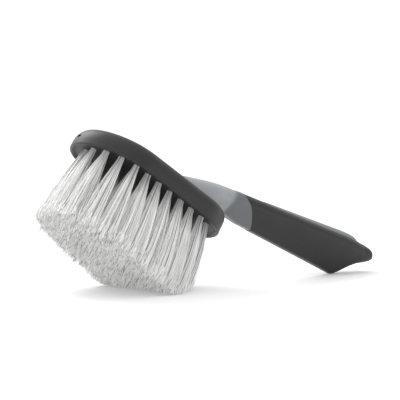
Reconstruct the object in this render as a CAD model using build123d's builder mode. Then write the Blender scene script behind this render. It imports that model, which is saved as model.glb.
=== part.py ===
"""Wheel brush: a short-handled tufted brush, lying on its splayed bristles and the heel of its grip.

Millimetres, +Z up, floor at Z = 0. The XZ plane is the plane of symmetry and +X runs from the
brush head to the end of the grip. The origin is the middle of the bounding box, on the floor.
"""
from build123d import *
from math import cos, pi, radians, sin
import os

# Head: a round-ended slab, nose up, measured in its own tilted frame. The frame's X runs along
# the slab from nose to rear and its heights are square to the slab, from the line where the
# trimmed bristle face meets the floor.
head_pitch = 32.0
contact_x = -63.9
contact_behind_centre = 26.7
head_length = 109.0
head_width = 60.0
head_thickness = 12.4
rim_height = 50.0
rim_rounding = 1.2
crown_rounding = 5.0
lip_wall = 2.6
lip_depth = 1.5
block_thickness = 6.0
bumper_flange = 7.0
gate_slot_length = 4.6
gate_slot_width = 1.6
gate_slot_depth = 1.5
gate_slot_height = 4.8
gate_slot_angle = 165.0

# Bristle tufts: rings of round holes, splaying from the tuft block to the trimmed face.
trim_pitch = 37.6
hole_radius = 2.5
hole_depth = 4.5
tuft_radius = 2.35
root_ring_gap = 9.4
root_ring_length = 91.0
root_ring_width = 42.0
tip_ring_length = 94.0
tip_ring_width = 60.0
tip_shift = -2.0
tip_ring_step = 10.7
spine_tip_step = 10.2
tip_radius = 5.0
spine_tip_half_width = 9.0
outer_ring_count = 24
inner_ring_count = 17
spine_row_count = 6
anchor_length = 6.4
anchor_height = 1.6
anchor_thickness = 0.35

# Handle: straight top and bottom lines that part towards the heel, and a rounded nose. Its
# cross-section is a wedge, wide and flat on top and narrow along the keel.
top_line_x = 18.7
top_line_z = 52.1
top_slope = 0.335
bottom_line_x = 25.0
bottom_line_z = 29.6
bottom_slope = 0.427
grip_width = 26.4
grip_corner = 5.0
keel_width = 5.4
keel_corner = 2.2
grip_start_x = 11.0
form_end_x = 137.0
heel_x = 94.3
heel_rise = (102.9, 3.0)
form_height = 70.0
nose_centre_x = 116.0
nose_radius = 12.0
nose_heel = (112.6, 5.8)
nose_under = (121.0, 6.4)
nose_turn = (126.2, 7.6)
nose_tip = (128.0, 9.8)
nose_crown = (115.5, 18.6)
nose_break = (96.0, 26.2)
grip_wall = 3.2
tongue_rise = 9.0
tongue_keel = 4.0
tongue_corners = (2.6, 1.5)
tongue_heel_x = 82.0
tongue_end_x = 102.0
tongue_end_low = 9.5
tongue_end_width = 14.0
spine_width = 16.0
spine_start_x = 26.0
spine_end_x = 108.0
spine_slope = 0.303
spine_rounding = 1.0
spine_depth = 5.0
seam_arc = ((8.4, 60.0), (18.4, 43.0), (25.2, 25.0))
hanging_hole_radius = 3.0
hanging_hole_x = 120.3
hanging_hole_z = 11.0
eye_wall = 3.2
eye_thickness = 5.2

# Neck stations ahead of the grip: x, underside height, top height, top width, underside width,
# and the corner radii of the top and the underside.
neck_stations = (
    (-57.0, 65.6, 68.8, 24.0, 20.0, 1.4, 1.2),
    (-46.0, 59.6, 67.4, 35.0, 31.0, 3.6, 3.0),
    (-34.0, 52.6, 65.6, 38.0, 32.0, 6.2, 4.0),
    (-18.0, 49.0, 62.7, 35.0, 20.0, 6.2, 4.0),
    (-3.0, 44.0, 59.4, 26.6, 8.6, 5.2, 2.6),
)

pitch = radians(head_pitch)
along_head = Vector(cos(pitch), 0, -sin(pitch))
square_to_head = Vector(sin(pitch), 0, cos(pitch))
block_bottom = rim_height + lip_depth
block_top = block_bottom + block_thickness
deck_top = rim_height + head_thickness
block_length = head_length - 2 * lip_wall
block_width = head_width - 2 * lip_wall
deck_length = head_length - 2 * bumper_flange
deck_width = head_width - 2 * bumper_flange


def head_plane(height):
    """The plane parallel to the slab at a height above the contact line, centred on the slab."""
    origin = Vector(contact_x, 0, 0) - along_head * contact_behind_centre + square_to_head * height
    return Plane(origin=origin, x_dir=along_head, z_dir=square_to_head)


def grip_top(x):
    """Height of the grip's straight top line at x."""
    return top_line_z - top_slope * (x - top_line_x)


def grip_bottom(x):
    """Height of the grip's straight bottom line at x."""
    return bottom_line_z - bottom_slope * (x - bottom_line_x)


def cross_section(x, low, high, top_width, low_width, top_corner, low_corner):
    """A rounded wedge square to X, between two heights."""
    top = (high - low) / 2
    with BuildSketch(Plane(origin=(x, 0, (high + low) / 2), x_dir=(0, 1, 0), z_dir=(1, 0, 0))) as section:
        with BuildLine():
            left = (-top_width / 2, top), (-low_width / 2, -top)
            right = (low_width / 2, -top), (top_width / 2, top)
            Polyline(*left, *right, close=True)
        make_face()
        fillet(section.vertices().group_by(Axis.Y)[-1], top_corner)
        fillet(section.vertices().group_by(Axis.Y)[0], low_corner)
    return section.sketch


def grip_section(x):
    """The grip's outer cross-section at x."""
    return cross_section(x, grip_bottom(x), grip_top(x), grip_width, keel_width, grip_corner, keel_corner)


def tongue_section(x, low, width):
    """The cross-section at x of the hard tongue inside the grip."""
    return cross_section(x, low, grip_top(x) - grip_wall, width, tongue_keel, *tongue_corners)


def ring_point(length, width, fraction):
    """The point at a fraction of the way round a round-ended ring, from the nose, and its heading."""
    radius = width / 2
    straight = length - width
    quarter = pi * radius / 2
    travel = fraction * (2 * straight + 2 * pi * radius)
    mirror = 1
    half = straight + pi * radius
    if travel > half:
        travel = 2 * half - travel
        mirror = -1
    if travel < quarter:
        angle = travel / radius
        return -straight / 2 - radius * cos(angle), mirror * radius * sin(angle)
    if travel < quarter + straight:
        return -straight / 2 + travel - quarter, mirror * radius
    angle = (travel - quarter - straight) / radius
    return straight / 2 + radius * sin(angle), mirror * radius * cos(angle)


def tuft_layout():
    """Name, root point, tip point and tip half width of every tuft, in the head's frame."""
    layout = []
    for k in range(outer_ring_count):
        root = ring_point(root_ring_length, root_ring_width, k / outer_ring_count)
        tip = ring_point(tip_ring_length, tip_ring_width, k / outer_ring_count)
        layout.append((f"tuft_outer_{k + 1:02d}", root, tip, tip_radius))
    inner_root = (root_ring_length - 2 * root_ring_gap, root_ring_width - 2 * root_ring_gap)
    inner_tip = (tip_ring_length - 2 * tip_ring_step, tip_ring_width - 2 * tip_ring_step)
    for k in range(inner_ring_count):
        root = ring_point(*inner_root, k / inner_ring_count)
        tip = ring_point(*inner_tip, k / inner_ring_count)
        layout.append((f"tuft_inner_{k + 1:02d}", root, tip, tip_radius))
    for k in range(spine_row_count):
        place = k - (spine_row_count - 1) / 2
        root = (place * root_ring_gap, 0.0)
        tip = (place * spine_tip_step, 0.0)
        layout.append((f"tuft_spine_{k + 1:02d}", root, tip, spine_tip_half_width))
    return layout


tufts = tuft_layout()
os.makedirs("parts", exist_ok=True)

floor = Plane.XY
trim = radians(trim_pitch)
trim_plane = Plane(origin=(contact_x, 0, 0), x_dir=(cos(trim), 0, -sin(trim)), z_dir=(sin(trim), 0, cos(trim)))

# The hanging hole's cutter, square to the grip's top line.
hole_plane = Plane(
    origin=(hanging_hole_x, 0, hanging_hole_z), x_dir=(1, 0, -top_slope), z_dir=(top_slope, 0, 1)
)
with BuildPart() as hanging_hole:
    with BuildSketch(hole_plane):
        Circle(hanging_hole_radius)
    extrude(amount=grip_width, both=True)

# Everything ahead of the curved seam between the neck and the soft grip.
with BuildPart() as ahead_of_seam:
    with BuildSketch(Plane.XZ):
        with BuildLine():
            seam = ThreePointArc(*seam_arc)
            Polyline(seam @ 1, (contact_x, seam_arc[2][1]), (contact_x, seam_arc[0][1]), seam @ 0)
        make_face()
    extrude(amount=grip_width, both=True)

# The handle's full outer form from the neck's end to the nose, before it is shared out.
with BuildPart() as handle_form:
    loft(sections=[grip_section(grip_start_x), grip_section(form_end_x)], ruled=True)
    with BuildSketch(Plane.XZ):
        with BuildLine():
            Polyline((grip_start_x, 0), (heel_x, 0), heel_rise, nose_heel, nose_under)
            ThreePointArc(nose_under, nose_turn, nose_tip)
            ThreePointArc(nose_tip, nose_crown, nose_break)
            Polyline(nose_break, (nose_break[0], form_height), (grip_start_x, form_height), (grip_start_x, 0))
        make_face()
    extrude(amount=grip_width, both=True, mode=Mode.INTERSECT)
    with BuildSketch(Plane.XY):
        with Locations((nose_centre_x, 0)):
            Circle(nose_radius)
            Rectangle(2 * grip_width + nose_centre_x, grip_width, align=(Align.MAX, Align.CENTER))
    extrude(amount=form_height, mode=Mode.INTERSECT)

# Hard handle core: deck in the head, neck, tongue through the grip, spine strip and hanging eye.
spine_plane = Plane(
    origin=(spine_start_x, 0, grip_top(spine_start_x)), x_dir=(1, 0, -spine_slope), z_dir=(spine_slope, 0, 1)
)
with BuildPart() as handle_core:
    with BuildSketch(head_plane(block_top)):
        SlotOverall(deck_length, deck_width)
    extrude(amount=deck_top - block_top)
    neck = [cross_section(*station) for station in neck_stations]
    loft(sections=neck + [grip_section(grip_start_x)])
    add(handle_form.part.intersect(ahead_of_seam.part))
    tongue_width = grip_width - 2 * grip_wall
    tongue = [
        tongue_section(grip_start_x, grip_bottom(grip_start_x) + tongue_rise, tongue_width),
        tongue_section(tongue_heel_x, grip_bottom(tongue_heel_x) + tongue_rise, tongue_width),
        tongue_section(tongue_end_x, tongue_end_low, tongue_end_width),
    ]
    loft(sections=tongue, ruled=True)
    with BuildSketch(spine_plane):
        with Locations(((spine_end_x - spine_start_x) / 2, 0)):
            SlotOverall(spine_end_x - spine_start_x, spine_width)
    extrude(amount=-spine_depth)
    fillet(handle_core.faces().filter_by(spine_plane)[0].edges(), spine_rounding)
    with BuildSketch(hole_plane):
        Circle(hanging_hole_radius + eye_wall)
        eye_neck = hanging_hole_x - tongue_end_x + eye_wall
        Rectangle(eye_neck, 2 * (hanging_hole_radius + eye_wall), align=(Align.MAX, Align.CENTER))
    extrude(amount=eye_thickness / 2, both=True)
    add(hanging_hole.part, mode=Mode.SUBTRACT)
handle_core.part.label = "handle_core"
export_step(handle_core.part, "parts/handle_core.step")

# Soft grip: moulded over the core's tongue, open along the spine strip and round the hole.
with BuildPart() as soft_grip:
    add(handle_form.part)
    add(ahead_of_seam.part, mode=Mode.SUBTRACT)
    add(handle_core.part, mode=Mode.SUBTRACT)
    add(hanging_hole.part, mode=Mode.SUBTRACT)
soft_grip.part.label = "soft_grip"
export_step(soft_grip.part, "parts/soft_grip.step")

# Soft bumper: a ring round the head, holding the tuft block behind its lip and flange.
slot_turn = radians(gate_slot_angle)
nose_point = (
    head_width / 2 * (1 + cos(slot_turn)) - head_length / 2,
    head_width / 2 * sin(slot_turn),
)
with BuildPart() as head_bumper:
    with BuildSketch(head_plane(rim_height)):
        SlotOverall(head_length, head_width)
    extrude(amount=head_thickness)
    caps = head_bumper.faces().filter_by(Plane(origin=(0, 0, 0), z_dir=square_to_head))
    rims = caps.sort_by(Axis(origin=(0, 0, 0), direction=square_to_head))
    fillet(rims[-1].edges(), crown_rounding)
    caps = head_bumper.faces().filter_by(Plane(origin=(0, 0, 0), z_dir=square_to_head))
    rims = caps.sort_by(Axis(origin=(0, 0, 0), direction=square_to_head))
    fillet(rims[0].edges(), rim_rounding)
    with BuildSketch(head_plane(rim_height)):
        SlotOverall(block_length, block_width)
    extrude(amount=block_top - rim_height, mode=Mode.SUBTRACT)
    with BuildSketch(head_plane(rim_height)):
        SlotOverall(deck_length, deck_width)
    extrude(amount=head_thickness, mode=Mode.SUBTRACT)
    with BuildSketch(head_plane(rim_height + gate_slot_height)):
        with Locations(nose_point):
            Rectangle(2 * gate_slot_depth, gate_slot_length, rotation=gate_slot_angle)
    extrude(amount=gate_slot_width, mode=Mode.SUBTRACT)
    add(handle_core.part, mode=Mode.SUBTRACT)
head_bumper.part.label = "head_bumper"
export_step(head_bumper.part, "parts/head_bumper.step")

# Wire anchors: one flat staple across the foot of every tuft, biting into the block each side.
with BuildPart() as wire_anchors:
    with BuildSketch(head_plane(block_bottom + hole_depth - anchor_height)):
        with Locations([root for _, root, _, _ in tufts]):
            Rectangle(anchor_thickness, anchor_length)
    extrude(amount=anchor_height)
wire_anchors.part.label = "wire_anchors"
export_step(wire_anchors.part, "parts/wire_anchors.step")

# Tuft block: the drilled plate that carries every tuft.
with BuildPart() as tuft_block:
    with BuildSketch(head_plane(block_bottom)):
        SlotOverall(block_length, block_width)
    extrude(amount=block_thickness)
    with BuildSketch(head_plane(block_bottom)):
        with Locations([root for _, root, _, _ in tufts]):
            Circle(hole_radius)
    extrude(amount=hole_depth, mode=Mode.SUBTRACT)
    add(wire_anchors.part, mode=Mode.SUBTRACT)
tuft_block.part.label = "tuft_block"
export_step(tuft_block.part, "parts/tuft_block.step")

# Tufts: each a splaying bundle from its hole to the trimmed face, pressed flat where it stands.
for name, root, tip, tip_half_width in tufts:
    with BuildSketch(head_plane(block_bottom)) as foot:
        with Locations(root):
            Ellipse(tuft_radius, tuft_radius, rotation=90)
    with BuildSketch(head_plane(0)) as end:
        with Locations((tip[0] + tip_shift, tip[1])):
            Ellipse(tip_half_width, tip_radius, rotation=90)
    with BuildPart() as tuft:
        loft(sections=[foot.sketch, end.sketch])
        extrude(to_extrude=foot.sketch, amount=hole_depth)
        split(bisect_by=trim_plane, keep=Keep.TOP)
        split(bisect_by=floor, keep=Keep.TOP)
        add(wire_anchors.part, mode=Mode.SUBTRACT)
    tuft.part.label = name
    export_step(tuft.part, f"parts/{name}.step")
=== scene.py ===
"""Wheel brush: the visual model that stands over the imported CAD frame. Lengths are millimetres."""
import math

import bpy
import numpy as np
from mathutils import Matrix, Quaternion, Vector


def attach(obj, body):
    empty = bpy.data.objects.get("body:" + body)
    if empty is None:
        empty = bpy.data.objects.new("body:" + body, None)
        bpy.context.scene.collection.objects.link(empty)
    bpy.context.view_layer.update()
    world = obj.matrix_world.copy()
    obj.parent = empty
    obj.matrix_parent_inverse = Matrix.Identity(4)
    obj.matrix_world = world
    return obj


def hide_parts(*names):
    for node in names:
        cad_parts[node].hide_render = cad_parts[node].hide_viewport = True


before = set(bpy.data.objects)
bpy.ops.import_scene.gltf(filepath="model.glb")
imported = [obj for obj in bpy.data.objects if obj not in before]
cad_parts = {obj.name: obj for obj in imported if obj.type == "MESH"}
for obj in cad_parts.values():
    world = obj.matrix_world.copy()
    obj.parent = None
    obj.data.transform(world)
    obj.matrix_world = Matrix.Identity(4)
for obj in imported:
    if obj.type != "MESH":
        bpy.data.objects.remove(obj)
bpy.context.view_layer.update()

MM = 0.001

# ---------------------------------------------------------------- the brush's own dimensions

PITCH = math.radians(32.0)  # the head's fall towards the rear
TRIM = math.radians(37.6)  # the slope of the trimmed face
CONTACT_X = -63.9  # where the trimmed face meets the floor
BEHIND = 26.7  # how far that is behind the head's centre
HEAD_LENGTH, HEAD_WIDTH, HEAD_THICKNESS = 109.0, 60.0, 12.4
RIM = 50.0  # height of the lip's edge, square to the head
LIP_DEPTH = 1.5
BLOCK_BOTTOM = RIM + LIP_DEPTH
BLOCK_TOP = BLOCK_BOTTOM + 6.0
DECK_TOP = RIM + HEAD_THICKNESS
FLANGE = 7.0  # width of the bumper's top

# The rings that the rows of tufts follow at the block and at the trimmed face.
ROOT_LENGTH, ROOT_WIDTH, ROOT_GAP = 91.0, 42.0, 9.4
TIP_LENGTH, TIP_WIDTH, TIP_GAP, TIP_SHIFT = 94.0, 61.0, 10.7, -2.0
OUTER, INNER, SPINE = 24, 17, 6  # tufts in each row

GRIP_WIDTH, KEEL_WIDTH = 26.4, 5.4  # at the section's sharp corners
NOSE_START, GRIP_END = 116.0, 128.0
GRIP_START, SEAM_REACH = 17.0, 40.0  # sections between these bend to the curved seam

# The crease between the flared web and the collar: a slanted line x - slope z = place.
CREASE_SLOPE, CREASE_PLACE = 0.716, -32.2

along = np.array([math.cos(PITCH), 0.0, -math.sin(PITCH)])
across = np.array([0.0, 1.0, 0.0])
square = np.array([math.sin(PITCH), 0.0, math.cos(PITCH)])
head_foot = np.array([CONTACT_X, 0.0, 0.0]) - BEHIND * along


def on_head(points):
    """Points of the tilted head frame (along, across, height) as points of the shared frame."""
    p = np.asarray(points, dtype=float)
    return head_foot + p[..., :1] * along + p[..., 1:2] * across + p[..., 2:3] * square


def grip_top(x):
    return 52.1 - 0.335 * (x - 18.7)


def grip_bottom(x):
    return 29.6 - 0.427 * (x - 25.0)


# ---------------------------------------------------------------- mesh building


def smooth_table(xs, ys, x):
    """A smooth curve through a few stations (cubic, slopes from the neighbours)."""
    xs, ys = np.asarray(xs, float), np.asarray(ys, float)
    slopes = np.gradient(ys, xs)
    i = int(np.clip(np.searchsorted(xs, x) - 1, 0, len(xs) - 2))
    h = xs[i + 1] - xs[i]
    t = (x - xs[i]) / h
    return (
        (2 * t**3 - 3 * t**2 + 1) * ys[i]
        + (t**3 - 2 * t**2 + t) * h * slopes[i]
        + (-2 * t**3 + 3 * t**2) * ys[i + 1]
        + (t**3 - t**2) * h * slopes[i + 1]
    )


def new_piece(name, verts, faces, nodes):
    """A mesh object from points in millimetres, riding on the brush."""
    mesh = bpy.data.meshes.new(name)
    mesh.from_pydata((np.asarray(verts) * MM).tolist(), [], faces)
    mesh.validate()
    mesh.update()
    mesh.shade_smooth()
    piece = bpy.data.objects.new(name, mesh)
    bpy.context.scene.collection.objects.link(piece)
    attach(piece, "root")
    if nodes:
        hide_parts(*nodes)
    return piece


def tube_faces(rings, around, closed=False, first=0):
    """Quads between successive rings of points, then the two end caps of an open tube."""
    faces = []
    for r in range(rings if closed else rings - 1):
        a = first + r * around
        b = first + ((r + 1) % rings) * around
        for k in range(around):
            n = (k + 1) % around
            faces.append((a + k, a + n, b + n, b + k))
    if not closed:
        faces.append(tuple(first + k for k in reversed(range(around))))
        faces.append(tuple(first + (rings - 1) * around + k for k in range(around)))
    return faces


def apply_modifiers(piece):
    """Bakes the modifiers of a piece into its mesh."""
    deps = bpy.context.evaluated_depsgraph_get()
    mesh = bpy.data.meshes.new_from_object(piece.evaluated_get(deps), depsgraph=deps)
    piece.modifiers.clear()
    old = piece.data
    piece.data = mesh
    bpy.data.meshes.remove(old)


def cut(piece, verts, faces):
    """Takes a closed form away from a piece."""
    mesh = bpy.data.meshes.new("cutter")
    mesh.from_pydata((np.asarray(verts) * MM).tolist(), [], faces)
    mesh.update()
    cutter = bpy.data.objects.new("cutter", mesh)
    bpy.context.scene.collection.objects.link(cutter)
    mod = piece.modifiers.new("cut", "BOOLEAN")
    mod.object = cutter
    mod.operation = "DIFFERENCE"
    mod.solver = "EXACT"
    apply_modifiers(piece)
    bpy.data.objects.remove(cutter)
    bpy.data.meshes.remove(mesh)


def sharpen(piece, degrees):
    """Smooth shading that breaks at edges sharper than an angle."""
    piece.data.set_sharp_from_angle(angle=math.radians(degrees))


def stadium(length, width, steps):
    """A round-ended outline as points and outward directions, the same count for every size."""
    straight = length - width
    points, normals = [], []
    for side in (1, -1):
        for k in range(steps):
            a = math.pi * k / (steps - 1) - math.pi / 2
            d = (math.cos(a) * side, math.sin(a) * side)
            points.append((side * straight / 2 + d[0] * width / 2, d[1] * width / 2))
            normals.append(d)
        runs = 14
        for k in range(1, runs):
            f = k / runs
            points.append((side * straight / 2 * (1 - 2 * f), side * width / 2))
            normals.append((0.0, float(side)))
    return np.array(points), np.array(normals)


def arc(cx, cy, rx, ry, a0, a1, steps):
    """Points of an elliptical arc, angles in degrees."""
    t = np.radians(np.linspace(a0, a1, steps))
    return [(cx + rx * math.cos(a), cy + ry * math.sin(a)) for a in t]


# ---------------------------------------------------------------- materials


def material(name):
    m = bpy.data.materials.new(name)
    m.use_nodes = True
    tree = m.node_tree
    shader = tree.nodes["Principled BSDF"]
    return m, tree, shader


def node(tree, kind, **values):
    n = tree.nodes.new(kind)
    for key, value in values.items():
        if key in n.inputs:
            n.inputs[key].default_value = value
        else:
            setattr(n, key, value)
    return n


def ramp(tree, source, stops):
    """A colour ramp fed by a socket."""
    r = tree.nodes.new("ShaderNodeValToRGB")
    while len(r.color_ramp.elements) < len(stops):
        r.color_ramp.elements.new(0.5)
    for element, (place, colour) in zip(r.color_ramp.elements, stops):
        element.position = place
        element.color = (*colour, 1.0) if isinstance(colour, tuple) else (colour, colour, colour, 1.0)
    tree.links.new(source, r.inputs["Fac"])
    return r.outputs["Color"]


def moulded(name, dark, light, rough, grain, grain_height, specular):
    """Moulded plastic or rubber: mottled colour, uneven polish and a fine spark-eroded grain."""
    m, tree, shader = material(name)
    place = node(tree, "ShaderNodeTexCoord").outputs["Object"]
    mottle = node(tree, "ShaderNodeTexNoise", Scale=90.0, Detail=5.0, Roughness=0.6)
    tree.links.new(place, mottle.inputs["Vector"])
    colour = ramp(tree, mottle.outputs["Fac"], ((0.3, dark), (0.7, light)))
    tree.links.new(colour, shader.inputs["Base Color"])
    cloudy = node(tree, "ShaderNodeTexNoise", Scale=35.0, Detail=3.0)
    tree.links.new(place, cloudy.inputs["Vector"])
    polish = node(tree, "ShaderNodeMapRange")
    tree.links.new(cloudy.outputs["Fac"], polish.inputs["Value"])
    polish.inputs["To Min"].default_value = rough - 0.05
    polish.inputs["To Max"].default_value = rough + 0.07
    tree.links.new(polish.outputs["Result"], shader.inputs["Roughness"])
    fine = node(tree, "ShaderNodeTexNoise", Scale=grain, Detail=3.0, Roughness=0.55)
    tree.links.new(place, fine.inputs["Vector"])
    bump = node(tree, "ShaderNodeBump", Strength=0.35, Distance=grain_height)
    tree.links.new(fine.outputs["Fac"], bump.inputs["Height"])
    tree.links.new(bump.outputs["Normal"], shader.inputs["Normal"])
    shader.inputs["Specular IOR Level"].default_value = specular
    return m


rubber = moulded("rubber", (0.0105, 0.0104, 0.0110), (0.0152, 0.0149, 0.0154), 0.42, 1500.0, 0.00006, 0.42)
core = moulded("core_plastic", (0.125, 0.134, 0.141), (0.134, 0.144, 0.151), 0.36, 1100.0, 0.00005, 0.5)
# Painted light: the web and the deck above the crease are painted twice as bright as the plain plastic, for
# the sheen they catch at a grazing angle, and the collar below the crease is painted a shade darker (0.9).
web_sheen_tree = core.node_tree
web_sheen_place = node(web_sheen_tree, "ShaderNodeTexCoord").outputs["Object"]
lean = node(web_sheen_tree, "ShaderNodeVectorMath", operation="DOT_PRODUCT")
web_sheen_tree.links.new(web_sheen_place, lean.inputs[0])
lean.inputs[1].default_value = (1.0, 0.0, -CREASE_SLOPE)
painted_sheen_step = node(web_sheen_tree, "ShaderNodeMapRange", interpolation_type="SMOOTHSTEP")
web_sheen_tree.links.new(lean.outputs["Value"], painted_sheen_step.inputs["Value"])
painted_sheen_step.inputs["From Min"].default_value = (CREASE_PLACE - 3.5) * MM
painted_sheen_step.inputs["From Max"].default_value = (CREASE_PLACE + 1.5) * MM
painted_sheen_step.inputs["To Min"].default_value = 2.0
painted_sheen_step.inputs["To Max"].default_value = 0.90
web_sheen_shader = web_sheen_tree.nodes["Principled BSDF"]
plain = web_sheen_shader.inputs["Base Color"].links[0].from_socket
painted_web_sheen = node(web_sheen_tree, "ShaderNodeVectorMath", operation="SCALE")
web_sheen_tree.links.new(plain, painted_web_sheen.inputs[0])
web_sheen_tree.links.new(painted_sheen_step.outputs["Result"], painted_web_sheen.inputs["Scale"])
web_sheen_tree.links.new(painted_web_sheen.outputs["Vector"], web_sheen_shader.inputs["Base Color"])
# Painted sheen: the inlay and the eye are the core's plastic, painted a lighter tone for the sheen along the
# grip's top.
inlay_painted_sheen = moulded("inlay_plastic_painted_sheen", (0.196, 0.204, 0.211), (0.208, 0.217, 0.223), 0.34, 1100.0, 0.00005, 0.5)
block = moulded("block_plastic", (0.022, 0.022, 0.023), (0.034, 0.034, 0.035), 0.50, 900.0, 0.00006, 0.4)

wire, wire_tree, wire_shader = material("anchor_wire")
wire_shader.inputs["Metallic"].default_value = 1.0
wire_place = node(wire_tree, "ShaderNodeTexCoord").outputs["Object"]
wire_noise = node(wire_tree, "ShaderNodeTexNoise", Scale=700.0, Detail=4.0)
wire_tree.links.new(wire_place, wire_noise.inputs["Vector"])
wire_colour = ramp(wire_tree, wire_noise.outputs["Fac"], ((0.3, (0.42, 0.42, 0.41)), (0.7, (0.6, 0.6, 0.58))))
wire_tree.links.new(wire_colour, wire_shader.inputs["Base Color"])
wire_shader.inputs["Roughness"].default_value = 0.35

bristle, bristle_tree, bristle_shader = material("bristle")
island = node(bristle_tree, "ShaderNodeNewGeometry").outputs["Random Per Island"]
# Each filament gets its own tone; those at the bottom of the ramp are painted dark grey, painted shadow lines
# standing in for the shade between strands.
strand_tone_and_painted_shadow = ramp(
    bristle_tree,
    island,
    (
        (0.0, (0.16, 0.16, 0.155)),
        (0.14, (0.50, 0.50, 0.49)),
        (0.30, (0.86, 0.86, 0.855)),
        (1.0, (0.96, 0.96, 0.955)),
    ),
)
# Painted shade: each filament is darker towards its root, down to 0.72 of its colour at the block, for the
# shade among the tufts.
bristle_place = node(bristle_tree, "ShaderNodeTexCoord").outputs["Object"]
height = node(bristle_tree, "ShaderNodeVectorMath", operation="DOT_PRODUCT")
bristle_tree.links.new(bristle_place, height.inputs[0])
height.inputs[1].default_value = tuple(square)
shade = node(bristle_tree, "ShaderNodeMapRange", interpolation_type="SMOOTHSTEP")
bristle_tree.links.new(height.outputs["Value"], shade.inputs["Value"])
foot_height = float(head_foot @ square)
shade.inputs["From Min"].default_value = (foot_height + 50.0) * MM
shade.inputs["From Max"].default_value = (foot_height + 33.0) * MM
shade.inputs["To Min"].default_value = 0.72
shade.inputs["To Max"].default_value = 1.0
painted_shade_mix = node(bristle_tree, "ShaderNodeMix", data_type="RGBA", blend_type="MULTIPLY")
painted_shade_mix.inputs[0].default_value = 1.0
bristle_tree.links.new(strand_tone_and_painted_shadow, painted_shade_mix.inputs[6])
bristle_tree.links.new(shade.outputs["Result"], painted_shade_mix.inputs[7])
bristle_tree.links.new(painted_shade_mix.outputs[2], bristle_shader.inputs["Base Color"])
bristle_rough = node(bristle_tree, "ShaderNodeMapRange")
bristle_tree.links.new(island, bristle_rough.inputs["Value"])
bristle_rough.inputs["To Min"].default_value = 0.38
bristle_rough.inputs["To Max"].default_value = 0.55
bristle_tree.links.new(bristle_rough.outputs["Result"], bristle_shader.inputs["Roughness"])
bristle_shader.inputs["Specular IOR Level"].default_value = 0.4
# Painted light: the filaments glow faintly in their own painted colour, standing in for light passing through
# them.
bristle_tree.links.new(painted_shade_mix.outputs[2], bristle_shader.inputs["Emission Color"])
bristle_shader.inputs["Emission Strength"].default_value = 0.10

# The rows inside stand in the shade of the block: their painted root shade goes down to 0.10, and their
# painted glow is a little stronger.
inner_bristle = bristle.copy()
inner_bristle.name = "bristle_inner"
for n in inner_bristle.node_tree.nodes:
    if n.bl_idname == "ShaderNodeMapRange" and n.interpolation_type == "SMOOTHSTEP":
        n.inputs["To Min"].default_value = 0.10
inner_bristle.node_tree.nodes["Principled BSDF"].inputs["Emission Strength"].default_value = 0.115

# ---------------------------------------------------------------- soft bumper

def deck_rise(u):
    """The head thickens slightly from its nose to its rear."""
    return 0.007 * u


outline, outward = stadium(HEAD_LENGTH, HEAD_WIDTH, 46)
around = len(outline)
loops = []
for (u, v), (du, dv) in zip(outline, outward):
    top = DECK_TOP + deck_rise(u)
    crown = 4.6 - 0.024 * u
    drop = 1.45 * crown
    profile = arc(FLANGE - 0.45, top - 0.45, 0.45, 0.45, 0, 90, 4)
    profile += arc(crown, top - drop, crown, drop, 90, 180, 22)
    profile += arc(0.9, RIM + 0.9, 0.9, 0.9, 180, 270, 7)
    profile += arc(1.25, RIM + 0.5, 0.5, 0.5, 270, 320, 4)
    profile += [(2.75, BLOCK_BOTTOM - 0.05), (2.75, BLOCK_TOP), (FLANGE, BLOCK_TOP), (FLANGE, DECK_TOP - 3.0)]
    loops.append([(u - i * du, v - i * dv, h) for i, h in profile])
verts = on_head(np.array(loops).transpose(1, 0, 2))
bumper = new_piece(
    "head_bumper_skin",
    verts.reshape(-1, 3),
    tube_faces(len(verts), around, closed=True),
    ["head_bumper"],
)

slot_turn = math.radians(165.0)
slot_out = np.array([math.cos(slot_turn), math.sin(slot_turn), 0.0])
slot_side = np.array([-slot_out[1], slot_out[0], 0.0])
slot_place = np.array([HEAD_WIDTH / 2 - HEAD_LENGTH / 2, 0.0, RIM + 5.6]) + slot_out * HEAD_WIDTH / 2
ends = arc(1.5, 0.0, 0.8, 0.8, -90, 90, 7) + arc(-1.5, 0.0, 0.8, 0.8, 90, 270, 7)
verts = [
    on_head(slot_place + slot_out * depth + slot_side * a + np.array([0.0, 0.0, b]))
    for depth in (-1.6, 1.0)
    for a, b in ends
]
cut(bumper, verts, tube_faces(2, len(ends)))
sharpen(bumper, 38)

# ---------------------------------------------------------------- soft grip


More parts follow.
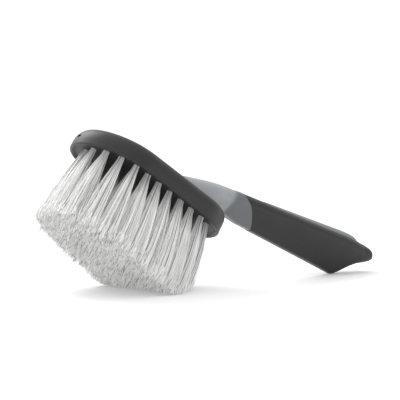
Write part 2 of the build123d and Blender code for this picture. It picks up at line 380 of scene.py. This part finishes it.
def wedge(x, low, high, top_half, low_half, top_corner, low_corner):
    """A closed rounded wedge section at x, from the middle of its top, round the near side."""
    height = high - low
    slope = math.atan2(top_half - low_half, height)
    top_turn = math.pi / 2 + slope
    low_turn = math.pi / 2 - slope
    most = 0.96  # of a side, that its corners may take up
    tc = min(top_corner, most * top_half / math.tan(top_turn / 2))
    top_reach = tc * math.tan(top_turn / 2)
    lc = min(low_corner, most * low_half / math.tan(low_turn / 2))
    side = math.hypot(height, top_half - low_half)
    low_reach = lc * math.tan(low_turn / 2)
    if top_reach + low_reach > most * side:
        k = most * side / (top_reach + low_reach)
        tc, lc = tc * k, lc * k
        top_reach, low_reach = top_reach * k, low_reach * k
    half = []
    for f in np.linspace(0, 1, 8):
        half.append(((top_half - top_reach) * f, high))
    cy, cz = top_half - top_reach, high - tc
    for f in np.linspace(0, 1, 12)[1:]:
        a = math.pi / 2 - top_turn * f
        half.append((cy + tc * math.cos(a), cz + tc * math.sin(a)))
    start = half[-1]
    ly, lz = low_half - low_reach, low + lc
    a_end = -math.pi / 2 + low_turn
    end = (ly + lc * math.cos(a_end), lz + lc * math.sin(a_end))
    for f in np.linspace(0, 1, 12)[1:]:
        half.append((start[0] + (end[0] - start[0]) * f, start[1] + (end[1] - start[1]) * f))
    for f in np.linspace(0, 1, 10)[1:]:
        a = a_end - low_turn * f
        half.append((ly + lc * math.cos(a), lz + lc * math.sin(a)))
    for f in np.linspace(0, 1, 4)[1:]:
        half.append((ly * (1 - f), low))
    near = [(x, -y, z) for y, z in half]
    far = [(x, y, z) for y, z in reversed(half[1:-1])]
    return np.array(near + far)


def heel_line(x):
    """Height of the grip's underside: the keel line, the heel on the floor, the rise and the nose."""
    marks_x = [90.0, 93.9, 95.3, 102.9, 107.6, 112.4, 115.8, 119.0, 122.0, 125.0, 127.0, 128.0]
    marks_z = [1.85, 0.15, 0.20, 3.05, 4.65, 5.80, 6.05, 6.4, 6.9, 7.8, 8.7, 9.5]
    if x < 90.0:
        return grip_bottom(x)
    return float(np.interp(x, marks_x, marks_z))


def crown_line(x):
    """Height of the grip's top: the straight line, then the curve down to the tip."""
    if x < 95.0:
        return grip_top(x)
    marks_x = [95.0, 100.0, 104.6, 109.3, 114.0, 118.7, 122.0, 125.0, 127.0, 128.0]
    marks_z = [grip_top(95.0), 25.0, 23.6, 22.0, 20.2, 17.9, 15.9, 13.6, 11.6, 9.8]
    return smooth_table(marks_x, marks_z, x)


def plan_half(x):
    """Half width that the rounded nose allows at x."""
    if x < NOSE_START:
        return math.inf
    radius = GRIP_END - NOSE_START
    return math.sqrt(max(0.0, radius**2 - (x - NOSE_START) ** 2)) * 1.06


def grip_ring(x):
    """The grip's section at x: the straight wedge, cut by the lines above, below and round the nose."""
    low, high = heel_line(x), crown_line(x)
    full_low, full_high = grip_bottom(x), grip_top(x)
    slope = (GRIP_WIDTH - KEEL_WIDTH) / 2 / (full_high - full_low)
    top_half = GRIP_WIDTH / 2 - (full_high - high) * slope
    low_half = KEEL_WIDTH / 2 + (low - full_low) * slope
    limit = plan_half(x)
    top_half, low_half = min(top_half, limit), min(low_half, limit)
    height = max(high - low, 0.02)
    nose = min(1.0, max(0.0, (x - 98.0) / 18.0))
    top_corner = min(5.0 + 1.5 * nose, height * 0.48)
    low_corner = min(2.2 + 3.6 * nose, height * 0.45)
    return wedge(x, low, high, max(top_half, 0.02), max(low_half, 0.02), top_corner, low_corner)


def slide(ring, shift, low=grip_bottom, high=grip_top):
    """Moves a section's points along X, each keeping its place between the two lines."""
    x = ring[:, 0]
    part = (ring[:, 2] - low(x)) / (high(x) - low(x))
    moved = ring.copy()
    moved[:, 0] = x + shift
    moved[:, 2] = low(moved[:, 0]) + part * (high(moved[:, 0]) - low(moved[:, 0]))
    return moved


def seam_shift(z):
    """X where the seam with the neck stands at a height: an arc that bows towards the grip."""
    t = np.clip((z - 27.0) / 28.0, 0.0, 1.0)
    return 23.2 - 14.8 * t + 3.7 * np.sin(math.pi * t)


stations = list(np.linspace(GRIP_START, 90.0, 50)) + list(np.linspace(91.0, NOSE_START, 30))
stations += [
    NOSE_START + (GRIP_END - NOSE_START) * math.sin(a)
    for a in np.linspace(0.08, math.pi / 2 - 0.03, 22)
]
rings = []
for x in stations:
    ring = grip_ring(x)
    if x < SEAM_REACH:
        fade = (SEAM_REACH - x) / (SEAM_REACH - GRIP_START)
        ring = slide(ring, fade * (seam_shift(ring[:, 2]) - GRIP_START))
    rings.append(ring)
first = rings[0]
middle = first.mean(axis=0)
edge = middle + (first - middle) * np.array([1.0, 0.965, 0.985]) - np.array([0.35, 0.0, 0.0])
rings.insert(0, edge)
inner = middle + (first - middle) * np.array([1.0, 0.9, 0.95]) - np.array([0.4, 0.0, 0.0])
rings.insert(0, inner)
grip = new_piece(
    "soft_grip_skin",
    np.concatenate(rings),
    tube_faces(len(rings), len(rings[0])),
    ["soft_grip"],
)

hole_axis = np.array([0.335, 0.0, 1.0]) / math.hypot(0.335, 1.0)
hole_across = np.array([hole_axis[2], 0.0, -hole_axis[0]])
hole_centre = np.array([120.3, 0.0, 11.0])
HOLE_STEPS = 40


def round_the_hole(profile):
    """Rings of points round the hanging hole, from (lift, radius) pairs."""
    turns = [2 * math.pi * k / HOLE_STEPS for k in range(HOLE_STEPS)]
    return [
        hole_centre + hole_axis * lift + radius * (math.cos(a) * hole_across + math.sin(a) * across)
        for lift, radius in profile
        for a in turns
    ]


hole_below = [(-14.0, 6.5), (-6.4, 4.0), (-5.4, 3.4), (-4.6, 3.15)]
hole_above = [(3.0, 3.15), (4.0, 3.4), (5.0, 4.0), (14.0, 6.5)]
hole_profile = hole_below + hole_above
cut(grip, round_the_hole(hole_profile), tube_faces(len(hole_profile), HOLE_STEPS))
sharpen(grip, 40)

sleeve = [(-2.6, 3.0), (2.6, 3.0), (2.6, 3.5), (-2.6, 3.5)]
eye = new_piece(
    "hanging_eye",
    round_the_hole(sleeve),
    tube_faces(len(sleeve), HOLE_STEPS, closed=True),
    [],
)
sharpen(eye, 40)

# ---------------------------------------------------------------- hard core: deck, neck and inlay

# Half width, half width at the foot and corner radius of the neck at stations along X.
neck_x = [-57.0, -46.0, -34.0, -22.0, -11.0, -3.0]
neck_half = [12.0, 18.0, 20.5, 20.0, 16.8, 13.4]
neck_foot = [10.0, 16.0, 17.0, 15.0, 10.0, 4.4]
neck_corner = [1.4, 4.2, 8.0, 10.0, 9.0, 7.0]
# Heights of the neck's underside and top at stations along X, up to where the grip's lines take over.
under_x = [-57.0, -46.0, -34.0, -22.0, -11.0, -3.0, 4.0, 11.0]
under_z = [65.6, 59.6, 52.6, 49.0, 46.8, 43.6, 39.6, grip_bottom(11.0)]
over_x = [-57.0, -46.0, -34.0, -25.8, -12.5, -1.0, 7.0, 16.0]
over_z = [68.8, 67.3, 65.4, 64.0, 61.5, 59.0, 56.6, grip_top(16.0)]


def neck_under(x):
    return np.array([smooth_table(under_x, under_z, v) if v < under_x[-1] else grip_bottom(v) for v in x])


def neck_over(x):
    return np.array([smooth_table(over_x, over_z, v) if v < over_x[-1] else grip_top(v) for v in x])


def crease_lean(z):
    """How far towards the grip a section of the neck leans at a height."""
    t = np.clip((z - 41.0) / 18.0, 0.0, 1.0)
    return 9.0 * t * t


NECK_START, NECK_WAIST, TONGUE_END = -57.0, -3.0, 30.0
rings = []
for x in list(np.linspace(NECK_START, NECK_WAIST, 34)) + list(np.linspace(-1.0, TONGUE_END, 20)):
    low, high = neck_under([x])[0], neck_over([x])[0]
    if x <= NECK_WAIST:
        half = smooth_table(neck_x, neck_half, x)
        foot = smooth_table(neck_x, neck_foot, x)
        ring = wedge(x, low, high, half, foot, smooth_table(neck_x, neck_corner, x), 2.6)
        # The lean grows from the middle of the head to the waist.
        fade = max(0.0, (x + 34.0) / 31.0)
    else:
        ease = max(0.0, 1 - (x - NECK_WAIST) / 14.0)
        tuck = 0.14 if x < 26.0 else 1.0  # how far inside the grip's lines the core lies
        half = GRIP_WIDTH / 2 - tuck + 0.2 * ease
        foot = KEEL_WIDTH / 2 - tuck * 0.5 + 1.7 * ease
        ring = wedge(x, low + tuck, high - tuck, half, foot, 5.0 + 2.0 * ease, 2.2 + 0.4 * ease)
        fade = max(0.0, 1 - (x - NECK_WAIST) / 16.0)
    rings.append(slide(ring, fade * crease_lean(ring[:, 2]), neck_under, neck_over))
neck_verts = np.concatenate(rings)
neck_faces = tube_faces(len(rings), len(rings[0]))

deck_profile = [(0.0, BLOCK_TOP), (0.0, DECK_TOP - 0.9), (0.3, DECK_TOP - 0.3)]
deck_profile += [(1.0, DECK_TOP), (6.0, DECK_TOP + 0.05)]
deck_outline, deck_outward = stadium(HEAD_LENGTH - 2 * FLANGE - 0.5, HEAD_WIDTH - 2 * FLANGE - 0.5, 46)
deck_verts = []
for inset, height in deck_profile:
    flat = deck_outline - inset * deck_outward
    deck_verts.append(on_head(np.column_stack([flat, height + deck_rise(flat[:, 0])])))
deck_faces = tube_faces(len(deck_profile), len(deck_outline), first=len(neck_verts))
handle = new_piece(
    "handle_core_skin",
    np.concatenate([neck_verts] + deck_verts),
    neck_faces + deck_faces,
    ["handle_core"],
)
mod = handle.modifiers.new("weld", "REMESH")
mod.mode = "VOXEL"
mod.voxel_size = 0.65 * MM
mod.use_smooth_shade = True
apply_modifiers(handle)
# The join between the deck and the neck is smoothed into a fillet, away from the bumper's edge.
co = np.empty(len(handle.data.vertices) * 3)
handle.data.vertices.foreach_get("co", co)
co = co.reshape(-1, 3) / MM
rel = co - head_foot
above = rel @ square - DECK_TOP
room_across = HEAD_WIDTH / 2 - FLANGE - np.abs(co[:, 1])
room_along = HEAD_LENGTH / 2 - FLANGE - np.abs(rel @ along)
room = np.minimum(room_across, room_along) - 2.0
weight = np.clip(room / 3.0, 0, 1) * np.clip(1.0 - (above - 6.0) / 5.0, 0, 1) * (above > -3.0)
group = handle.vertex_groups.new(name="fillet")
for i in np.nonzero(weight > 0.01)[0]:
    group.add([int(i)], float(weight[i]), "REPLACE")
mod = handle.modifiers.new("fillet", "SMOOTH")
mod.factor, mod.iterations, mod.vertex_group = 0.5, 60, "fillet"
mod = handle.modifiers.new("polish", "SMOOTH")
mod.factor, mod.iterations = 0.5, 4
apply_modifiers(handle)
handle.vertex_groups.clear()
handle.data.shade_smooth()

# The inlay along the grip's top, standing prouder towards the nose; its lighter tone is painted sheen.
SPINE_START, SPINE_BEND, SPINE_END, SPINE_WIDTH = 26.0, 98.0, 116.0, 16.0


def spine_top(x):
    """Height of the inlay's top edge at x."""
    line = 50.5 - 0.303 * (x - 24.0)
    if x < SPINE_BEND:
        return line
    marks_x = [SPINE_BEND, 101.0, 105.0, 109.0, 113.0, 116.0]
    marks_z = [28.08, 27.1, 25.6, 23.8, 21.4, 18.8]
    return smooth_table(marks_x, marks_z, x)


spine_outline, spine_outward = stadium(SPINE_END - SPINE_START, SPINE_WIDTH, 30)
# Its section as (inset, drop) pairs: the last ring closes on the middle line, where it is welded.
spine_profile = [(0.0, 5.0)] + [(i, 2.4 - h) for i, h in arc(2.6, 0.0, 2.6, 2.4, 180, 90, 10)]
spine_profile += [(4.5, -0.12), (6.5, -0.2), (8.0, -0.22)]
verts = []
for inset, drop in spine_profile:
    flat = spine_outline - inset * spine_outward
    x = flat[:, 0] + (SPINE_START + SPINE_END) / 2
    z = np.array([spine_top(v) for v in x]) - drop
    verts.append(np.column_stack([x, flat[:, 1], z]))
spine = new_piece(
    "grip_spine",
    np.concatenate(verts),
    tube_faces(len(spine_profile), len(spine_outline))[:-1],
    [],
)
mod = spine.modifiers.new("join", "WELD")
mod.merge_threshold = 0.01 * MM
apply_modifiers(spine)
sharpen(spine, 35)

# ---------------------------------------------------------------- bristles


def ring_point(length, width, fraction):
    """The point at a fraction of the way round a round-ended ring, from the nose."""
    radius = width / 2
    straight = length - width
    quarter = math.pi * radius / 2
    travel = fraction * (2 * straight + 2 * math.pi * radius)
    mirror = 1
    half = straight + math.pi * radius
    if travel > half:
        travel = 2 * half - travel
        mirror = -1
    if travel < quarter:
        angle = travel / radius
        return np.array([-straight / 2 - radius * math.cos(angle), mirror * radius * math.sin(angle)])
    if travel < quarter + straight:
        return np.array([-straight / 2 + travel - quarter, mirror * radius])
    angle = (travel - quarter - straight) / radius
    return np.array([straight / 2 + radius * math.sin(angle), mirror * radius * math.cos(angle)])


def tuft_layout():
    """Name, root, tip, tip cell's half sizes along and across the row, and the row's heading."""
    rows = []
    sizes = (
        ("outer", OUTER, ROOT_LENGTH, ROOT_WIDTH, TIP_LENGTH, TIP_WIDTH),
        (
            "inner",
            INNER,
            ROOT_LENGTH - 2 * ROOT_GAP,
            ROOT_WIDTH - 2 * ROOT_GAP,
            TIP_LENGTH - 2 * TIP_GAP,
            TIP_WIDTH - 2 * TIP_GAP,
        ),
    )
    for row, count, rl, rw, tl, tw in sizes:
        for k in range(count):
            root = ring_point(rl, rw, k / count)
            tip = ring_point(tl, tw, k / count)
            after = ring_point(tl, tw, ((k + 0.5) % count) / count)
            before = ring_point(tl, tw, ((k - 0.5) % count) / count)
            heading = after - before
            size = np.linalg.norm(heading)
            rows.append((f"{row}_{k + 1:02d}", root, tip, size / 2, TIP_GAP / 2, heading / size))
    for k in range(SPINE):
        place = k - (SPINE - 1) / 2
        root = np.array([place * ROOT_GAP, 0.0])
        tip = np.array([place * TIP_GAP, 0.0])
        rows.append((f"spine_{k + 1:02d}", root, tip, 13.5, TIP_GAP / 2, np.array([0.0, 1.0])))
    return rows


trim_up = np.array([math.sin(TRIM), 0.0, math.cos(TRIM)])
contact = np.array([CONTACT_X, 0.0, 0.0])
FILAMENTS = 150
SEGMENTS = 8
FLAG = 6.0  # length of the split at a filament's tip
HOLE_FILL = 1.55  # radius of the bundle where it leaves its hole
SIDE_LIMIT = 34.6  # how far to the side a filament may reach


def bundle(name, root, tip, half_long, half_wide, heading, seed):
    """One tuft: crimped filaments that splay from a round hole and end feathered at the trim."""
    rng = np.random.default_rng(seed)
    n = FILAMENTS
    k = np.arange(n)
    radius = np.sqrt((k + 0.5) / n)
    turn = k * 2.399963 + rng.uniform(0, 2 * math.pi)
    disc = np.column_stack([radius * np.cos(turn), radius * np.sin(turn)])
    big = np.maximum(np.abs(disc[:, 0]), np.abs(disc[:, 1]))
    box = disc * (radius / np.maximum(big, 1e-6))[:, None]
    fill = 0.35 * disc + 0.65 * box
    sideways = np.array([-heading[1], heading[0]])
    clumps = rng.uniform(-0.95, 0.95, (13, 2))
    nearest = np.argmin(((fill[:, None] - clumps[None]) ** 2).sum(axis=2), axis=1)
    drawn = fill + 0.42 * (clumps[nearest] - fill)
    drawn = np.clip(drawn + rng.normal(0, 0.15, (n, 2)), -1.2, 1.2)
    tip_middle = tip + np.array([TIP_SHIFT, 0.0])
    # Behind the contact line the tufts bow back, pressed against the floor.
    pressed = 0.36 * max(0.0, tip_middle[0] - BEHIND) * math.sin(PITCH)
    end = (
        drawn[:, :1] * half_long * 1.10 * heading
        + drawn[:, 1:] * half_wide * (0.95 if name.startswith("bristles_outer") else 1.2) * sideways
    )
    start = disc[:, :1] * HOLE_FILL * heading + disc[:, 1:] * HOLE_FILL * sideways
    crimp_turn = rng.uniform(0, 2 * math.pi, n)
    crimp = rng.uniform(0.05, 0.22, n)
    wave = rng.uniform(7.0, 11.0, n)
    stray = rng.random(n) < 0.06
    crimp[stray] *= 3.5
    trim_jitter = rng.normal(0, 0.9, n)
    trim_jitter[stray] = 2.0 * np.abs(trim_jitter[stray])

    def path(s):
        """Filament centres for parameters s of shape (n, m), in the shared frame."""
        lean = 1 - np.sign(1 - s) * np.abs(1 - s) ** 1.7
        open_out = 1 - np.sign(1 - s) * np.abs(1 - s) ** 1.85
        lean, open_out = np.where(s < 0, 0.0, lean), np.where(s < 0, 0.0, open_out)
        flat = root + (tip_middle - root) * lean[..., None]
        flat = flat + start[:, None] + (end - start)[:, None] * open_out[..., None]
        flat[..., 0] += pressed * np.sin(math.pi * np.clip(s, 0, 1)) ** 0.9
        swing = crimp[:, None] * np.sin(2 * math.pi * s * 50.0 / wave[:, None] + crimp_turn[:, None])
        swing *= np.clip(s * 3, 0, 1)
        flat = flat + swing[..., None] * np.stack([np.cos(crimp_turn), np.sin(crimp_turn)], -1)[:, None]
        flat[..., 1] = np.clip(flat[..., 1], -SIDE_LIMIT, SIDE_LIMIT)
        return on_head(np.concatenate([flat, (BLOCK_BOTTOM * (1 - s))[..., None]], axis=-1))

    probe = np.tile(np.linspace(0.3, 1.15, 44), (n, 1))
    spots = path(probe)
    over_trim = (spots - contact) @ trim_up + trim_jitter[:, None]
    over_floor = spots[..., 2] - 0.25 - np.abs(trim_jitter)[:, None] * 0.3
    clear = np.minimum(over_trim, over_floor)
    first_under = np.argmax(clear < 0, axis=1)
    rows = np.arange(n)
    a, b = clear[rows, first_under - 1], clear[rows, first_under]
    sa, sb = probe[rows, first_under - 1], probe[rows, first_under]
    stop = sa + (sb - sa) * a / (a - b)

    spans = np.linspace(0, 1, SEGMENTS + 1)
    begin = -0.06
    s = begin + (stop - begin)[:, None] * spans[None]
    centres = path(s)
    thick = 0.175 - 0.03 * spans
    strands = [(centres, thick)]
    flag_at = stop - FLAG / BLOCK_BOTTOM
    for _ in range(2):
        f = np.linspace(0, 1, 4)
        fs = flag_at[:, None] + (stop - flag_at)[:, None] * f[None]
        hair = path(fs)
        spread = rng.normal(0, 0.75, (n, 1, 3)) * (f[None, :, None] ** 1.2)
        spread -= (spread @ square)[..., None] * square
        hair = hair + spread
        hair[..., 1] = np.clip(hair[..., 1], -SIDE_LIMIT - 0.4, SIDE_LIMIT + 0.4)
        hair[..., 2] = np.maximum(hair[..., 2], 0.15)
        strands.append((hair, 0.15 - 0.04 * f))

    verts, quads, offset = [], [], 0
    for line, size in strands:
        count, marks = line.shape[:2]
        ahead = np.gradient(line, axis=1)
        ahead /= np.linalg.norm(ahead, axis=2, keepdims=True)
        u = np.cross(ahead, across)
        u /= np.linalg.norm(u, axis=2, keepdims=True)
        v = np.cross(ahead, u)
        turn0 = rng.uniform(0, 2 * math.pi, count)
        loop = []
        for j in range(3):
            angle = turn0 + j * 2 * math.pi / 3
            loop.append(
                line
                + size[None, :, None]
                * (np.cos(angle)[:, None, None] * u + np.sin(angle)[:, None, None] * v)
            )
        ringed = np.stack(loop, axis=2)
        verts.append(ringed.reshape(-1, 3))
        base = offset + np.arange(count)[:, None, None] * (marks * 3)
        m = np.arange(marks - 1)[None, :, None] * 3
        j = np.arange(3)[None, None, :]
        jn = (j + 1) % 3
        corners = [base + m + j, base + m + jn, base + m + 3 + jn, base + m + 3 + j]
        quads.append(np.stack(corners, -1).reshape(-1, 4))
        offset += count * marks * 3
    verts = np.concatenate(verts)
    quads = np.concatenate(quads)
    mesh = bpy.data.meshes.new(name)
    mesh.vertices.add(len(verts))
    mesh.vertices.foreach_set("co", (verts * MM).astype(np.float32).ravel())
    mesh.loops.add(quads.size)
    mesh.loops.foreach_set("vertex_index", quads.ravel().astype(np.int32))
    mesh.polygons.add(len(quads))
    mesh.polygons.foreach_set("loop_start", np.arange(0, quads.size, 4, dtype=np.int32))
    mesh.update(calc_edges=True)
    mesh.shade_smooth()
    piece = bpy.data.objects.new(name, mesh)
    bpy.context.scene.collection.objects.link(piece)
    mesh.materials.append(bristle if name.startswith("bristles_outer") else inner_bristle)
    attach(piece, "root")
    return piece


for seed, (name, root, tip, half_long, half_wide, heading) in enumerate(tuft_layout()):
    tuft = bundle(f"bristles_{name}", root, tip, half_long, half_wide, heading, 100 + seed)
    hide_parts(f"tuft_{name}")

# ---------------------------------------------------------------- finishes on the pieces

for piece, finish in ((bumper, rubber), (grip, rubber), (handle, core), (spine, inlay_painted_sheen), (eye, inlay_painted_sheen)):
    piece.data.materials.clear()
    piece.data.materials.append(finish)
for name, finish in (("tuft_block", block), ("wire_anchors", wire)):
    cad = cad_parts[name]
    cad.data.materials.clear()
    cad.data.materials.append(finish)

# ---------------------------------------------------------------- floor, light and camera

floor_mesh = bpy.data.meshes.new("floor")
floor_mesh.from_pydata([(-3, -3, 0), (3, -3, 0), (3, 3, 0), (-3, 3, 0)], [], [(0, 1, 2, 3)])
floor = bpy.data.objects.new("floor", floor_mesh)
bpy.context.scene.collection.objects.link(floor)
paper, paper_tree, paper_shader = material("floor_paper")
paper_shader.inputs["Base Color"].default_value = (0.82, 0.82, 0.825, 1)
paper_shader.inputs["Roughness"].default_value = 0.6
paper_shader.inputs["Specular IOR Level"].default_value = 0.2
paper_shader.inputs["Emission Color"].default_value = (1, 1, 1, 1)
paper_shader.inputs["Emission Strength"].default_value = 0.11
floor_mesh.materials.append(paper)

world = bpy.data.worlds.new("studio")
bpy.context.scene.world = world
world.use_nodes = True
sky = world.node_tree
heading = node(sky, "ShaderNodeTexCoord").outputs["Generated"]
facing = node(sky, "ShaderNodeVectorMath", operation="DOT_PRODUCT")
sky.links.new(heading, facing.inputs[0])
facing.inputs[1].default_value = (-0.50, 0.50, 0.707)
soft = node(sky, "ShaderNodeMapRange")
sky.links.new(facing.outputs["Value"], soft.inputs["Value"])
soft.inputs["From Min"].default_value = -1.0
soft.inputs["From Max"].default_value = 1.0
soft.inputs["To Min"].default_value = 0.52
soft.inputs["To Max"].default_value = 1.56
backdrop = node(sky, "ShaderNodeMath", operation="MAXIMUM")
sky.links.new(soft.outputs["Result"], backdrop.inputs[0])
sky.links.new(node(sky, "ShaderNodeLightPath").outputs["Is Camera Ray"], backdrop.inputs[1])
sky.links.new(backdrop.outputs["Value"], sky.nodes["Background"].inputs["Strength"])
sky.nodes["Background"].inputs["Color"].default_value = (1.0, 1.0, 1.0, 1)

lamp_data = bpy.data.lights.new("key", "AREA")
lamp_data.shape = "DISK"
lamp_data.size = 0.9
lamp_data.energy = 9.0
lamp = bpy.data.objects.new("key", lamp_data)
bpy.context.scene.collection.objects.link(lamp)
lamp.location = (-0.15, 1.05, 0.95)
lamp.rotation_mode = "QUATERNION"
lamp.rotation_quaternion = (Vector((0, 0, 0.03)) - lamp.location).to_track_quat("-Z", "Y")

camera_data = bpy.data.cameras.new("camera")
camera_data.sensor_width = 36.0
camera_data.lens = 161.96
camera_data.clip_start, camera_data.clip_end = 0.05, 20.0
camera = bpy.data.objects.new("camera", camera_data)
bpy.context.scene.collection.objects.link(camera)
camera.location = (-0.7276, -0.7986, 0.1176)
target = Vector((-0.01707, 0.0, 0.05073))
camera.rotation_mode = "QUATERNION"
aim = (target - camera.location).to_track_quat("-Z", "Y")
camera.rotation_quaternion = aim @ Quaternion((0, 0, 1), math.radians(0.72))
bpy.context.scene.camera = camera
bpy.context.scene.view_settings.view_transform = "Standard"
